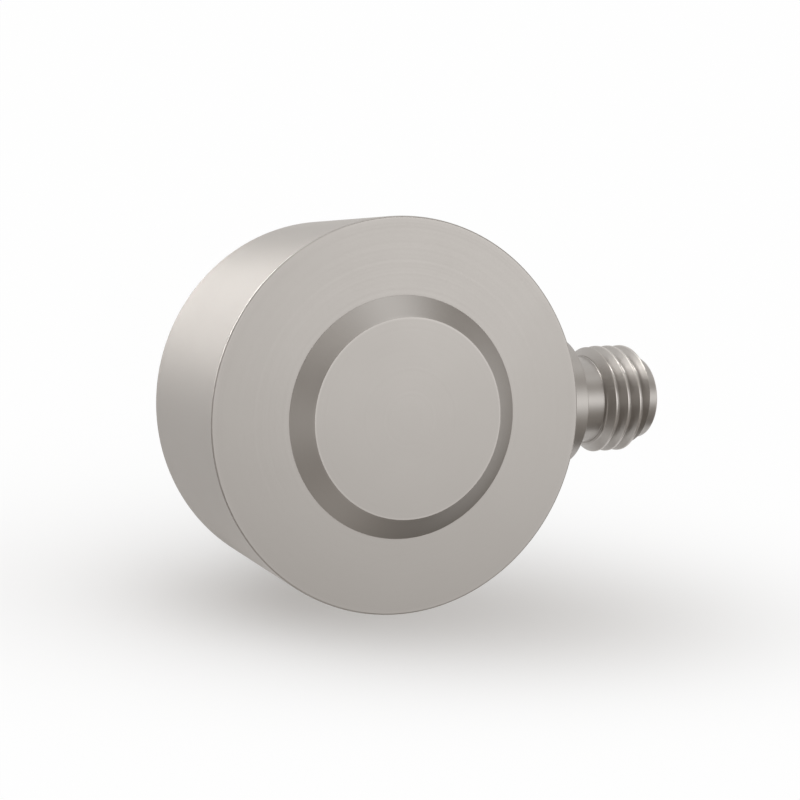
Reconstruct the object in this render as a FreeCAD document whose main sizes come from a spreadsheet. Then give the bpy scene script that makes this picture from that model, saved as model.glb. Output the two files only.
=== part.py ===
import FreeCAD, Part
import os
import re
import Sketcher

# Piezoelectric force sensor: a flat round steel case with a load boss on its front face,
# two quartz discs pressed between the front wall and the base plate,
# and a coaxial screw connector on the side of the case.
#
# Frame: the base plate lies on the plane z = 0, the load axis is Z, and the connector points along +X.
# All sizes are in millimetres.

# The driving dimensions. Each can be changed by itself, and the rest of the model follows.
DIMENSIONS = {
    # Case, from the crystals outwards: the radial build is what the stack needs around it.
    "quartz_diameter": 7.6,
    "stack_clearance": 0.05,
    "sleeve_wall": 0.4,
    "lead_space": 0.95,
    "base_ledge": 0.6,
    "rim_wall": 0.7,

    # Heights of the stack, from the base face upwards.
    "base_flange": 1.2,
    "base_land": 1.0,
    "shim_thickness": 0.15,
    "plate_thickness": 0.6,
    "quartz_thickness": 1.0,
    "electrode_thickness": 0.1,
    "front_land": 0.75,
    "diaphragm_thickness": 0.45,

    # Load boss on the front face.
    "boss_top_diameter": 6.56,
    "boss_slope_width": 0.69,
    "boss_height": 0.42,

    # Broken edges of the case and the stack.
    "front_rim_chamfer": 0.05,
    "back_rim_chamfer": 0.08,
    "groove_chamfer": 0.15,
    "seam_chamfer": 0.08,
    "plate_chamfer": 0.08,
    "quartz_chamfer": 0.05,

    # Fits between the pieces, as a gap on each side.
    "seat_clearance": 0.02,
    "press_clearance": 0.005,
    "pin_clearance": 0.05,

    # Electrode, sleeve and lead.
    "electrode_inset": 0.1,
    "tab_width": 0.8,
    "tab_reach": 0.25,
    "slot_margin": 0.15,
    "slot_drop": 0.35,
    "sleeve_headroom": 0.4,
    "ribbon_width": 0.2,
    "ribbon_thickness": 0.04,
    "ribbon_foot": 0.1,
    "ribbon_inset": 0.11,
    "ribbon_rise": 0.3,
    "ribbon_bend": 0.12,

    # Connector outside, measured along its axis from the side wall.
    "collar_diameter": 4.67,
    "collar_reach": 0.76,
    "seat_lip": 0.06,
    "neck_length": 1.2,
    "neck_wall": 0.475,
    "neck_fillet": 0.4,
    "relief_width": 0.09,
    "relief_depth": 0.035,
    "thread_diameter": 3.9,
    "thread_pitch": 0.5,
    "thread_length": 1.68,
    "thread_wall": 0.543,
    "nose_wall": 0.41,
    "nose_length": 0.6,
    "edge_chamfer": 0.05,
    "mouth_chamfer": 0.1,

    # Feedthrough in the rear of the connector.
    "spigot_wall": 0.4,
    "spigot_projection": 0.2,
    "ferrule_diameter": 2.4,
    "ferrule_wall": 0.35,
    "ferrule_length": 1.8,
    "glass_recess": 0.15,
    "shell_web": 0.5,
    "web_bore_diameter": 1.3,
    "pin_diameter": 0.5,
    "pin_chamfer": 0.06,
    "pin_tail": 0.3,
    "pin_engagement": 0.6,

    # Contact and insulator in the front of the connector.
    "insulator_recess": 0.42,
    "insulator_web": 0.5,
    "contact_diameter": 1.0,
    "contact_recess": 0.3,
    "socket_diameter": 0.55,
    "socket_depth": 1.2,
    "socket_chamfer": 0.1,
    "tine_slot": 0.1,
    "tine_length": 1.0,
}

doc = FreeCAD.newDocument("force_sensor")
sizes = doc.addObject("Spreadsheet::Sheet", "Sizes")
for row, (alias, number) in enumerate(DIMENSIONS.items(), 1):
    sizes.set(f"A{row}", alias)
    sizes.set(f"B{row}", str(number))
    sizes.setAlias(f"B{row}", alias)
stations = doc.addObject("Spreadsheet::Sheet", "Stations")
doc.recompute()


def named(expression):
    """Put the name of its sheet before each size or station in an expression."""
    words = set(re.findall(r"[a-z_]+", expression)) - {"sqrt"}
    for word in words:
        sheet = "Sizes" if hasattr(sizes, word) else "Stations"
        expression = re.sub(rf"\b{word}\b", f"{sheet}.{word}", expression)
    return expression


def station(alias, expression):
    """Write one place that follows from the sizes into the sheet of stations."""
    row = len(stations.getUsedCells()) // 2 + 1
    stations.set(f"A{row}", alias)
    stations.set(f"B{row}", "=" + named(expression))
    stations.setAlias(f"B{row}", alias)
    doc.recompute()


def value(expression):
    """The number that an expression has now."""
    return float(sizes.evalExpression(named(expression)))


# Radii about the load axis.
station("quartz_radius", "quartz_diameter / 2")
station("sleeve_inside", "quartz_radius + stack_clearance")
station("sleeve_outside", "sleeve_inside + sleeve_wall")
station("cavity_radius", "sleeve_outside + lead_space")
station("seat_radius", "cavity_radius + base_ledge")
station("body_radius", "seat_radius + rim_wall")
station("boss_radius", "boss_top_diameter / 2")
station("boss_foot", "boss_radius + boss_slope_width")

# Heights above the base face.
station("base_top", "base_flange + base_land")
station("shim_top", "base_top + shim_thickness")
station("lower_plate_top", "shim_top + plate_thickness")
station("lower_quartz_top", "lower_plate_top + quartz_thickness")
station("electrode_top", "lower_quartz_top + electrode_thickness")
station("upper_quartz_top", "electrode_top + quartz_thickness")
station("land_face", "upper_quartz_top + plate_thickness")
station("diaphragm_face", "land_face + front_land")
station("front_face", "diaphragm_face + diaphragm_thickness")
station("boss_face", "front_face + boss_height")
station("connector_height", "lower_quartz_top + electrode_thickness / 2")

# Radii about the connector's axis.
station("collar_radius", "collar_diameter / 2")
station("thread_radius", "thread_diameter / 2")
station("sharp_height", "thread_pitch * sqrt(3) / 2")
station("thread_root", "thread_radius - sharp_height * 17 / 24")
station("bore_radius", "thread_root - thread_wall")
station("neck_radius", "bore_radius + neck_wall")
station("nose_radius", "bore_radius + nose_wall")
station("ferrule_radius", "ferrule_diameter / 2")
station("ferrule_bore", "ferrule_radius - ferrule_wall")
station("ferrule_seat", "ferrule_radius + press_clearance")
station("spigot_radius", "ferrule_seat + spigot_wall")
station("pin_radius", "pin_diameter / 2")
station("contact_radius", "contact_diameter / 2")
station("socket_radius", "socket_diameter / 2")

# Distances from the load axis along the connector.
station("collar_seat_radius", "collar_radius + seat_clearance")
station("collar_seat", "sqrt(body_radius ^ 2 - collar_seat_radius ^ 2) - seat_lip")
station("collar_end", "body_radius + collar_reach")
station("thread_start", "collar_end + neck_length")
station("thread_end", "thread_start + thread_length")
station("nose_tip", "thread_end + nose_length")
station("groove_start", "thread_start - thread_pitch")
station("groove_turns", "(thread_end - groove_start) / thread_pitch + 1 / 2")
station("groove_over", "thread_pitch / 16")
station("groove_mouth", "thread_pitch * 7 / 16 + groove_over / sqrt(3)")
station("groove_floor", "thread_pitch * 7 / 16 - (thread_radius - thread_root) / sqrt(3)")
station("spigot_end", "cavity_radius - spigot_projection")
station("ferrule_end", "spigot_end + ferrule_length")
station("insulator_start", "ferrule_end + shell_web")
station("insulator_end", "nose_tip - insulator_recess")
station("contact_start", "insulator_start + insulator_web")
station("contact_end", "insulator_end - contact_recess")
station("pin_start", "spigot_end - pin_tail")
station("pin_end", "contact_start + pin_engagement")
station("tab_end", "sleeve_outside + tab_reach")
station("pin_top", "connector_height + pin_radius")
station("ribbon_start", "tab_end - ribbon_inset")
station("ribbon_end", "pin_start + ribbon_inset")
station("loop_top", "pin_top + ribbon_rise")


def new_body(label):
    """An empty body with its place at the origin and the label that names its file."""
    body = doc.addObject("PartDesign::Body", label)
    body.Label = label
    body.Placement = FreeCAD.Placement()
    return body


def raise_to_connector(body):
    """Put a body that is drawn about the X axis at the height of the connector's axis."""
    body.setExpression("Placement.Base.z", named("connector_height"))


def datum(body, role):
    """One of the origin planes or axes of a body."""
    return next(item for item in body.Origin.OriginFeatures if item.Role == role)


def new_sketch(body, name, role, offset=None):
    """A sketch on an origin plane of its body, or at an offset along the plane's normal."""
    sketch = body.newObject("Sketcher::SketchObject", name)
    sketch.AttachmentSupport = [(datum(body, role), "")]
    sketch.MapMode = "FlatFace"
    if offset:
        sketch.setExpression("AttachmentOffset.Base.z", named(offset))
    return sketch


def dimension(sketch, kind, geometry, point, expression):
    """Measure a point from the sketch's origin along X or Y and bind the distance."""
    number = value(expression)
    if expression == "0":
        axis = -2 if kind == "DistanceX" else -1
        sketch.addConstraint(Sketcher.Constraint("PointOnObject", geometry, point, axis))
        return
    index = sketch.addConstraint(Sketcher.Constraint(kind, -1, 1, geometry, point, number))
    sketch.setExpression(f"Constraints[{index}]", named(expression))


def outline(sketch, corners):
    """Draw a closed outline: a side whose ends share an expression is level or upright."""
    places = [FreeCAD.Vector(value(across), value(along), 0) for across, along in corners]
    count = len(corners)
    first = sketch.GeometryCount
    for here in range(count):
        sketch.addGeometry(Part.LineSegment(places[here], places[(here + 1) % count]))
    for here in range(count):
        follower = first + (here + 1) % count
        sketch.addConstraint(Sketcher.Constraint("Coincident", first + here, 2, follower, 1))
    for here in range(count):
        across, along = corners[here]
        last_across, last_along = corners[here - 1]
        before = first + (here - 1) % count
        if here and across == last_across:
            sketch.addConstraint(Sketcher.Constraint("Vertical", before))
        else:
            dimension(sketch, "DistanceX", first + here, 1, across)
        if here and along == last_along:
            sketch.addConstraint(Sketcher.Constraint("Horizontal", before))
        else:
            dimension(sketch, "DistanceY", first + here, 1, along)


def circle(sketch, radius, across="0", along="0"):
    """Draw a circle with its centre measured from the sketch's origin."""
    centre = FreeCAD.Vector(value(across), value(along), 0)
    ring = sketch.addGeometry(Part.Circle(centre, FreeCAD.Vector(0, 0, 1), value(radius)))
    index = sketch.addConstraint(Sketcher.Constraint("Radius", ring, value(radius)))
    sketch.setExpression(f"Constraints[{index}]", named(radius))
    dimension(sketch, "DistanceX", ring, 3, across)
    dimension(sketch, "DistanceY", ring, 3, along)


def turned(body, name, corners, axis):
    """Revolve an outline drawn on the XZ plane about the sketch's V_Axis or H_Axis."""
    sketch = new_sketch(body, name + "_outline", "XZ_Plane")
    outline(sketch, corners)
    turn = body.newObject("PartDesign::Revolution", name)
    turn.Profile = sketch
    turn.ReferenceAxis = (sketch, [axis])
    turn.Angle = 360
    doc.recompute()
    return turn


def padded(body, name, sketch, length, middle=False):
    """Pad a sketch by a bound length, to one side or half to each."""
    pad = body.newObject("PartDesign::Pad", name)
    pad.Profile = sketch
    pad.Midplane = middle
    pad.setExpression("Length", named(length))
    doc.recompute()
    return pad


def pocketed(body, name, sketch, length, reverse=False, middle=False):
    """Cut a sketch by a bound length, and make sure that it takes metal away."""
    before = body.Shape.Volume
    pocket = body.newObject("PartDesign::Pocket", name)
    pocket.Profile = sketch
    pocket.Reversed = reverse
    pocket.Midplane = middle
    pocket.setExpression("Length", named(length))
    doc.recompute()
    if body.Shape.Volume >= before:
        raise RuntimeError(f"{name} cuts nothing")
    return pocket


def dressed(body, kind, name, prop, amount, wanted):
    """Fillet or chamfer the edges of the body's tip that pass a test."""
    tip = body.Tip
    edges = [f"Edge{number}" for number, edge in enumerate(tip.Shape.Edges, 1) if wanted(edge)]
    if not edges:
        raise RuntimeError(f"{name} finds no edge")
    feature = body.newObject(kind, name)
    feature.Base = (tip, edges)
    feature.setExpression(prop, named(amount))
    doc.recompute()
    return feature


def rounded(body, name, radius, wanted):
    """Fillet chosen edges."""
    return dressed(body, "PartDesign::Fillet", name, "Radius", radius, wanted)


def chamfered(body, name, amount, wanted):
    """Chamfer chosen edges."""
    return dressed(body, "PartDesign::Chamfer", name, "Size", amount, wanted)


def ring_edge(radius, place, axis="z"):
    """A test for the round edge of a radius at a place along an axis of the body."""
    nearness = 1e-4
    wide = value(radius)
    high = value(place)

    def test(edge):
        curve = edge.Curve
        if not isinstance(curve, Part.Circle):
            return False
        at = curve.Center.z if axis == "z" else curve.Center.x
        return abs(curve.Radius - wide) < nearness and abs(at - high) < nearness

    return test


def bend_edge(across, height):
    """A test for the straight edge along Y at a place across and a height of the body."""
    nearness = 1e-4
    place = FreeCAD.Vector(value(across), 0, value(height))
    return lambda edge: (edge.CenterOfMass - place).Length < nearness


def either(*tests):
    """A test that passes when any of its tests passes."""
    return lambda edge: any(test(edge) for test in tests)


# Housing: one turned cup. The front wall is thick under the boss, where it presses the stack,
# and thin in a ring around it, so that the case hardly takes any of the load.
housing = new_body("housing")
turned(
    housing,
    "cup",
    [
        ("seat_radius", "0"),
        ("body_radius", "0"),
        ("body_radius", "front_face"),
        ("boss_foot", "front_face"),
        ("boss_radius", "boss_face"),
        ("0", "boss_face"),
        ("0", "land_face"),
        ("quartz_radius", "land_face"),
        ("quartz_radius", "diaphragm_face"),
        ("cavity_radius", "diaphragm_face"),
        ("cavity_radius", "base_flange"),
        ("seat_radius", "base_flange"),
    ],
    "V_Axis",
)
chamfered(housing, "front_rim", "front_rim_chamfer", ring_edge("body_radius", "front_face"))
chamfered(housing, "back_rim", "back_rim_chamfer", ring_edge("body_radius", "0"))
chamfered(housing, "seam_bevel", "seam_chamfer", ring_edge("seat_radius", "0"))
chamfered(
    housing,
    "diaphragm_corners",
    "groove_chamfer",
    either(ring_edge("quartz_radius", "diaphragm_face"), ring_edge("cavity_radius", "diaphragm_face")),
)

# The side wall has a through hole for the connector's spigot and a flat, spot-faced seat for its collar.
spigot_hole = new_sketch(housing, "spigot_hole_circle", "YZ_Plane", "sleeve_outside")
circle(spigot_hole, "spigot_radius + seat_clearance", "0", "connector_height")
pocketed(housing, "spigot_hole", spigot_hole, "body_radius", reverse=True)
collar_seat = new_sketch(housing, "collar_seat_circle", "YZ_Plane", "collar_seat")
circle(collar_seat, "collar_seat_radius", "0", "connector_height")
pocketed(housing, "collar_seat_face", collar_seat, "body_radius", reverse=True)

# Base plate: closes the cup flush with its rim and carries the stack on a raised land.
base_plate = new_body("base_plate")
turned(
    base_plate,
    "plate",
    [
        ("0", "0"),
        ("seat_radius - seat_clearance", "0"),
        ("seat_radius - seat_clearance", "base_flange"),
        ("quartz_radius", "base_flange"),
        ("quartz_radius", "base_top"),
        ("0", "base_top"),
    ],
    "V_Axis",
)
chamfered(base_plate, "seam_bevel", "seam_chamfer", ring_edge("seat_radius - seat_clearance", "0"))


def stack_disc(label, radius, bottom, thickness, chamfer=None):
    """A disc of the stack, padded up from its own seat, with its edges broken if it is thick."""
    body = new_body(label)
    sketch = new_sketch(body, "disc_circle", "XY_Plane")
    circle(sketch, radius)
    padded(body, "disc", sketch, thickness)
    if chamfer:
        edges = either(ring_edge(radius, "0"), ring_edge(radius, thickness))
        chamfered(body, "broken_edges", chamfer, edges)
    body.setExpression("Placement.Base.z", named(bottom))
    return body


# The stack: a lapped shim sets the preload, two hard plates spread it, and the crystals face each
# other with their charged sides on the electrode between them.
stack_disc("preload_shim", "quartz_radius", "base_top", "shim_thickness")
stack_disc("lower_pressure_plate", "quartz_radius", "shim_top", "plate_thickness", "plate_chamfer")
stack_disc("quartz_disc_lower", "quartz_radius", "lower_plate_top", "quartz_thickness", "quartz_chamfer")
stack_disc("quartz_disc_upper", "quartz_radius", "electrode_top", "quartz_thickness", "quartz_chamfer")
stack_disc("upper_pressure_plate", "quartz_radius", "upper_quartz_top", "plate_thickness", "plate_chamfer")

# Electrode: a thin disc with a tab that leaves the stack towards the connector.
electrode = stack_disc(
    "centre_electrode", "quartz_radius - electrode_inset", "lower_quartz_top", "electrode_thickness"
)
tab = new_sketch(electrode, "tab_outline", "XY_Plane")
outline(
    tab,
    [
        ("quartz_radius / 2", "-tab_width / 2"),
        ("tab_end", "-tab_width / 2"),
        ("tab_end", "tab_width / 2"),
        ("quartz_radius / 2", "tab_width / 2"),
    ],
)
padded(electrode, "tab", tab, "electrode_thickness")

# Insulating sleeve: stands on the base plate's flange, centres the stack, and is slotted for the tab.
sleeve = new_body("insulating_sleeve")
sleeve_ring = new_sketch(sleeve, "sleeve_circles", "XY_Plane")
circle(sleeve_ring, "sleeve_outside")
circle(sleeve_ring, "sleeve_inside")
padded(sleeve, "tube", sleeve_ring, "diaphragm_face - sleeve_headroom - base_flange")
slot = new_sketch(sleeve, "slot_outline", "YZ_Plane")
outline(
    slot,
    [
        ("-tab_width / 2 - slot_margin", "connector_height - slot_drop - base_flange"),
        ("tab_width / 2 + slot_margin", "connector_height - slot_drop - base_flange"),
        ("tab_width / 2 + slot_margin", "diaphragm_face - base_flange"),
        ("-tab_width / 2 - slot_margin", "diaphragm_face - base_flange"),
    ],
)
pocketed(sleeve, "tab_slot", slot, "body_radius", reverse=True)
sleeve.setExpression("Placement.Base.z", named("base_flange"))

# Signal lead: a thin ribbon, welded flat on the tab and on the pin. It rises in a loop between them,
# so that heat and load can move its two ends without pulling at the welds.
lead = new_body("signal_lead")
strip = new_sketch(lead, "ribbon_outline", "XZ_Plane")
outline(
    strip,
    [
        ("ribbon_start - ribbon_foot", "electrode_top"),
        ("ribbon_start + ribbon_thickness", "electrode_top"),
        ("ribbon_start + ribbon_thickness", "loop_top - ribbon_thickness"),
        ("ribbon_end - ribbon_thickness", "loop_top - ribbon_thickness"),
        ("ribbon_end - ribbon_thickness", "pin_top"),
        ("ribbon_end + ribbon_foot", "pin_top"),
        ("ribbon_end + ribbon_foot", "pin_top + ribbon_thickness"),
        ("ribbon_end", "pin_top + ribbon_thickness"),
        ("ribbon_end", "loop_top"),
        ("ribbon_start", "loop_top"),
        ("ribbon_start", "electrode_top + ribbon_thickness"),
        ("ribbon_start - ribbon_foot", "electrode_top + ribbon_thickness"),
    ],
)
padded(lead, "ribbon", strip, "ribbon_width", middle=True)
rounded(
    lead,
    "outer_bends",
    "ribbon_bend",
    either(bend_edge("ribbon_start", "loop_top"), bend_edge("ribbon_end", "loop_top")),
)
rounded(
    lead,
    "inner_bends",
    "ribbon_bend - ribbon_thickness",
    either(
        bend_edge("ribbon_start + ribbon_thickness", "loop_top - ribbon_thickness"),
        bend_edge("ribbon_end - ribbon_thickness", "loop_top - ribbon_thickness"),
    ),
)

# Connector shell: spigot, collar, neck, threaded barrel and plain nose are turned from one bar.
shell = new_body("connector_shell")
turned(
    shell,
    "turned_shell",
    [
        ("spigot_end", "ferrule_seat"),
        ("spigot_end", "spigot_radius"),
        ("collar_seat", "spigot_radius"),
        ("collar_seat", "collar_radius"),
        ("collar_end", "collar_radius"),
        ("collar_end", "neck_radius"),
        ("thread_start - relief_width", "neck_radius"),
        ("thread_start", "neck_radius - relief_depth"),
        ("thread_start", "thread_radius"),
        ("thread_end", "thread_radius"),
        ("thread_end", "nose_radius"),
        ("nose_tip", "nose_radius"),
        ("nose_tip", "bore_radius"),
        ("insulator_start", "bore_radius"),
        ("insulator_start", "web_bore_diameter / 2"),
        ("ferrule_end", "web_bore_diameter / 2"),
        ("ferrule_end", "ferrule_seat"),
    ],
    "H_Axis",
)
rounded(shell, "neck_root", "neck_fillet", ring_edge("neck_radius", "collar_end", "x"))
chamfered(
    shell,
    "broken_edges",
    "edge_chamfer",
    either(ring_edge("collar_radius", "collar_end", "x"), ring_edge("nose_radius", "nose_tip", "x")),
)
chamfered(shell, "mouth", "mouth_chamfer", ring_edge("bore_radius", "nose_tip", "x"))

# The thread is a right-hand helical groove of the metric form: flanks at 60 degrees to each other,
# a flat crest of an eighth of the pitch, and a depth of 17/24 of the sharp height.
# It enters from the neck and leaves over the nose.
vee = new_sketch(shell, "groove_outline", "XZ_Plane")
outline(
    vee,
    [
        ("groove_start - groove_mouth", "thread_radius + groove_over"),
        ("groove_start - groove_floor", "thread_root"),
        ("groove_start + groove_floor", "thread_root"),
        ("groove_start + groove_mouth", "thread_radius + groove_over"),
    ],
)
plain_volume = shell.Shape.Volume
groove = shell.newObject("PartDesign::SubtractiveHelix", "thread_groove")
groove.Profile = vee
groove.ReferenceAxis = (datum(shell, "X_Axis"), [""])
groove.Mode = "pitch-turns-angle"
groove.setExpression("Pitch", named("thread_pitch"))
groove.setExpression("Turns", named("groove_turns"))
doc.recompute()
if shell.Shape.Volume >= plain_volume:
    raise RuntimeError("the thread groove cuts nothing")
raise_to_connector(shell)

# Hermetic feedthrough: a metal ferrule is brazed into the rear of the shell, and glass is fused
# between the ferrule and the pin. The glass ends a little inside the ferrule at both faces.
ferrule = new_body("seal_ferrule")
turned(
    ferrule,
    "ferrule",
    [
        ("spigot_end", "ferrule_bore"),
        ("spigot_end", "ferrule_radius"),
        ("ferrule_end", "ferrule_radius"),
        ("ferrule_end", "ferrule_bore"),
    ],
    "H_Axis",
)
raise_to_connector(ferrule)

glass = new_body("glass_seal")
turned(
    glass,
    "glass",
    [
        ("spigot_end + glass_recess", "pin_radius"),
        ("spigot_end + glass_recess", "ferrule_bore"),
        ("ferrule_end - glass_recess", "ferrule_bore"),
        ("ferrule_end - glass_recess", "pin_radius"),
    ],
    "H_Axis",
)
raise_to_connector(glass)

pin = new_body("feedthrough_pin")
turned(
    pin,
    "pin",
    [
        ("pin_start", "0"),
        ("pin_start", "pin_radius"),
        ("pin_end", "pin_radius"),
        ("pin_end", "0"),
    ],
    "H_Axis",
)
chamfered(
    pin,
    "pin_ends",
    "pin_chamfer",
    either(ring_edge("pin_radius", "pin_start", "x"), ring_edge("pin_radius", "pin_end", "x")),
)
raise_to_connector(pin)

# Insulator: a plastic sleeve pressed into the shell's front bore. Its rear web passes the pin,
# and the contact stands on that web.
insulator = new_body("connector_insulator")
turned(
    insulator,
    "insulator",
    [
        ("insulator_start", "pin_radius + pin_clearance"),
        ("insulator_start", "bore_radius - press_clearance"),
        ("insulator_end", "bore_radius - press_clearance"),
        ("insulator_end", "contact_radius + press_clearance"),
        ("contact_start", "contact_radius + press_clearance"),
        ("contact_start", "pin_radius + pin_clearance"),
    ],
    "H_Axis",
)
raise_to_connector(insulator)

# Contact socket: its rear bore is soldered over the pin, and its front bore is slotted crosswise
# into four spring tines that grip the pin of a plug.
contact = new_body("contact_socket")
turned(
    contact,
    "socket",
    [
        ("contact_start", "pin_radius + press_clearance"),
        ("contact_start", "contact_radius"),
        ("contact_end", "contact_radius"),
        ("contact_end", "socket_radius"),
        ("contact_end - socket_depth", "socket_radius"),
        ("contact_end - socket_depth", "0"),
        ("pin_end", "0"),
        ("pin_end", "pin_radius + press_clearance"),
    ],
    "H_Axis",
)
chamfered(contact, "lead_in", "socket_chamfer", ring_edge("socket_radius", "contact_end", "x"))
for plane in ("XY_Plane", "XZ_Plane"):
    tines = new_sketch(contact, f"tine_outline_{plane[:2]}", plane)
    outline(
        tines,
        [
            ("contact_end - tine_length", "-tine_slot / 2"),
            ("nose_tip", "-tine_slot / 2"),
            ("nose_tip", "tine_slot / 2"),
            ("contact_end - tine_length", "tine_slot / 2"),
        ],
    )
    pocketed(contact, f"tine_slot_{plane[:2]}", tines, "contact_diameter * 2", middle=True)
raise_to_connector(contact)

# Check every object, then write one file for each piece.
doc.recompute()
for item in doc.Objects:
    if "Invalid" in item.State or "Error" in item.State:
        raise RuntimeError(f"{item.Label} failed: {item.State}")
pieces = [item for item in doc.Objects if item.TypeId == "PartDesign::Body"]
for piece in pieces:
    if piece.Shape.isNull() or not piece.Shape.isValid():
        raise RuntimeError(f"{piece.Label} has no valid shape")
    if len(piece.Shape.Solids) != 1:
        raise RuntimeError(f"{piece.Label} is {len(piece.Shape.Solids)} solids")

os.makedirs("parts", exist_ok=True)
for piece in pieces:
    piece.Shape.exportStep(f"parts/{piece.Label}.step")
    print(piece.Label, round(piece.Shape.Volume, 4))
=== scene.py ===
# %% [markdown]
# A piezoelectric force sensor is a closed steel capsule about the size of a shirt button, only thicker.
# Load presses on the round boss in front, the crystals inside give off charge, and a tiny screw
# connector on the side carries that charge away. In this lesson the machined solids come in as a
# fixed frame, and each surface that can be seen is then modelled and finished finely enough for a
# close-up picture.

# %% Load the frame
import math

import bpy
from mathutils import Matrix, Vector


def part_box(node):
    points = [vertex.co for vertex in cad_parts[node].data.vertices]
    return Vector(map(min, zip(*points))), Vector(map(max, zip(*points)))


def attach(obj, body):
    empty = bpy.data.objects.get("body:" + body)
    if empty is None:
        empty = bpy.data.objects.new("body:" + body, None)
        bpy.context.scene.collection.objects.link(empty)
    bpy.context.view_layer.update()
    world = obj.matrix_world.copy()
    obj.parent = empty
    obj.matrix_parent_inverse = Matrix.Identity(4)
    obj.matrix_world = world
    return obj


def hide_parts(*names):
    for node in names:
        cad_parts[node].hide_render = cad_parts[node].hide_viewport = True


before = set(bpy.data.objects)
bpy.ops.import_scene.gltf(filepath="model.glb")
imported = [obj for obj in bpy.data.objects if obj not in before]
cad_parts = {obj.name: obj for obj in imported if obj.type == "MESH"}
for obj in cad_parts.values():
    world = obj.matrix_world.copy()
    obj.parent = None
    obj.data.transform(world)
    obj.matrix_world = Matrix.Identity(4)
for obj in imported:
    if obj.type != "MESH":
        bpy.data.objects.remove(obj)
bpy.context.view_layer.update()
bpy.ops.object.select_all(action="DESELECT")
print("nodes in the frame:", len(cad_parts))

# %% [markdown]
# Every place is worked out from the frame's own boxes, so a piece made here lands exactly where the
# machined one is. The scene is in metres and this sensor is tiny, so every size is kept in millimetres
# and is multiplied by MM where Blender is told.

# %% Places taken from the frame
MM = 0.001

case_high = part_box("housing")[1]
shell_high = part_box("connector_shell")[1]
insulator_low, insulator_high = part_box("connector_insulator")
contact_low, contact_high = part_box("contact_socket")
ferrule_low, ferrule_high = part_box("seal_ferrule")

case_radius = case_high.x / MM
boss_face = case_high.z / MM
nose_tip = shell_high.x / MM
collar_radius = shell_high.y / MM
axis_height = (insulator_low.z + insulator_high.z) / 2 / MM
insulator_start = insulator_low.x / MM
insulator_end = insulator_high.x / MM
contact_foot = contact_low.x / MM
contact_tip = contact_high.x / MM
ferrule_start = ferrule_low.x / MM
ferrule_end = ferrule_high.x / MM
print("case radius mm", round(case_radius, 3), "connector height mm", round(axis_height, 3))

# %% [markdown]
# What a box can't tell, such as the width of a chamfer, is a named size. Most are given where they are
# first needed. These few come before the finishes, because steel is worn bright just where two faces
# meet at a rim.

# %% Sizes of the rims
FRONT_FACE = 6.85
BOSS_TOP_RADIUS = 3.28
THREAD_START = 8.46
THREAD_END = 10.14
THREAD_RADIUS = 1.95
NOSE_RADIUS = 1.51

boss_height = boss_face - FRONT_FACE
thread_length = THREAD_END - THREAD_START
print("boss height mm", round(boss_height, 2), "thread length mm", round(thread_length, 2))

# %% [markdown]
# The camera comes first, because every later choice is judged through it. A lens of about 61 mm on a
# 36 mm sensor was found from the way the round faces shrink with distance. The two directions say how
# the camera is turned: it looks down on the front face, a little from the left. The Standard view shows
# each colour as it is written, where Blender's own choice would soften the whites.

# %% Camera
CAMERA_PLACE = Vector((-17.94, 5.01, 46.46)) * MM
CAMERA_RIGHT = Vector((0.9125, 0.0, 0.4091))
CAMERA_BACK = Vector((-0.4070, 0.1013, 0.9078))

camera_data = bpy.data.cameras.new("camera")
camera_data.lens = 60.77
camera_data.sensor_width = 36
camera_data.clip_start = 1 * MM
camera_data.clip_end = 1000 * MM
camera = bpy.data.objects.new("camera", camera_data)
bpy.context.scene.collection.objects.link(camera)
bpy.context.scene.camera = camera

back = CAMERA_BACK.normalized()
up = back.cross(CAMERA_RIGHT).normalized()
right = up.cross(back)
turn = Matrix((right, up, back)).transposed().to_4x4()
camera.matrix_world = Matrix.Translation(CAMERA_PLACE) @ turn
bpy.context.scene.view_settings.view_transform = "Standard"
print("camera distance mm", round(CAMERA_PLACE.length / MM, 1))

# %% [markdown]
# A material is a small graph of nodes, and most of its work is arithmetic on sockets. Written out
# node by node that arithmetic is hard to read, so one small class wraps a socket and lets Python's own
# signs add the Math nodes: `1 - mask` or `height * 0.2` reads as what it does.

# %% A socket that can be added and multiplied
class Signal:
    """The output of a node, which adds Math nodes when it is used in a sum."""

    def __init__(self, tree, socket):
        self.tree = tree
        self.socket = socket

    def math(self, operation, first, second=None, clamp=False):
        """Add one Math node on two numbers or signals."""
        node = self.tree.nodes.new("ShaderNodeMath")
        node.operation = operation
        node.use_clamp = clamp
        for place, item in enumerate((first, second)):
            if isinstance(item, Signal):
                self.tree.links.new(item.socket, node.inputs[place])
            elif item is not None:
                node.inputs[place].default_value = item
        return Signal(self.tree, node.outputs[0])

    def __add__(self, other):
        return self.math("ADD", self, other)

    __radd__ = __add__

    def __sub__(self, other):
        return self.math("SUBTRACT", self, other)

    def __rsub__(self, other):
        return self.math("SUBTRACT", other, self)

    def __mul__(self, other):
        return self.math("MULTIPLY", self, other)

    __rmul__ = __mul__

    def __truediv__(self, other):
        return self.math("DIVIDE", self, other)

    def __rtruediv__(self, other):
        return self.math("DIVIDE", other, self)

    def __pow__(self, power):
        return self.math("POWER", self, power)

    def __rpow__(self, base):
        return self.math("POWER", base, self)

    def __abs__(self):
        return self.math("ABSOLUTE", self)

    def near(self, place, width):
        """One at a place, falling in a straight line to nothing at a width away from it."""
        return self.math("SUBTRACT", 1.0, abs(self - place) / width, clamp=True)


print("made the class", Signal.__name__)

# %% [markdown]
# All other nodes come from one method. It takes a node's settings first, because they can change which
# sockets the node has, and then the values and links of its sockets. The sky is made of nodes too, so
# this method belongs to a graph of any kind, and a finish is a graph that makes a material. What is the
# same all over a surface is a constant of the shader itself.

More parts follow.
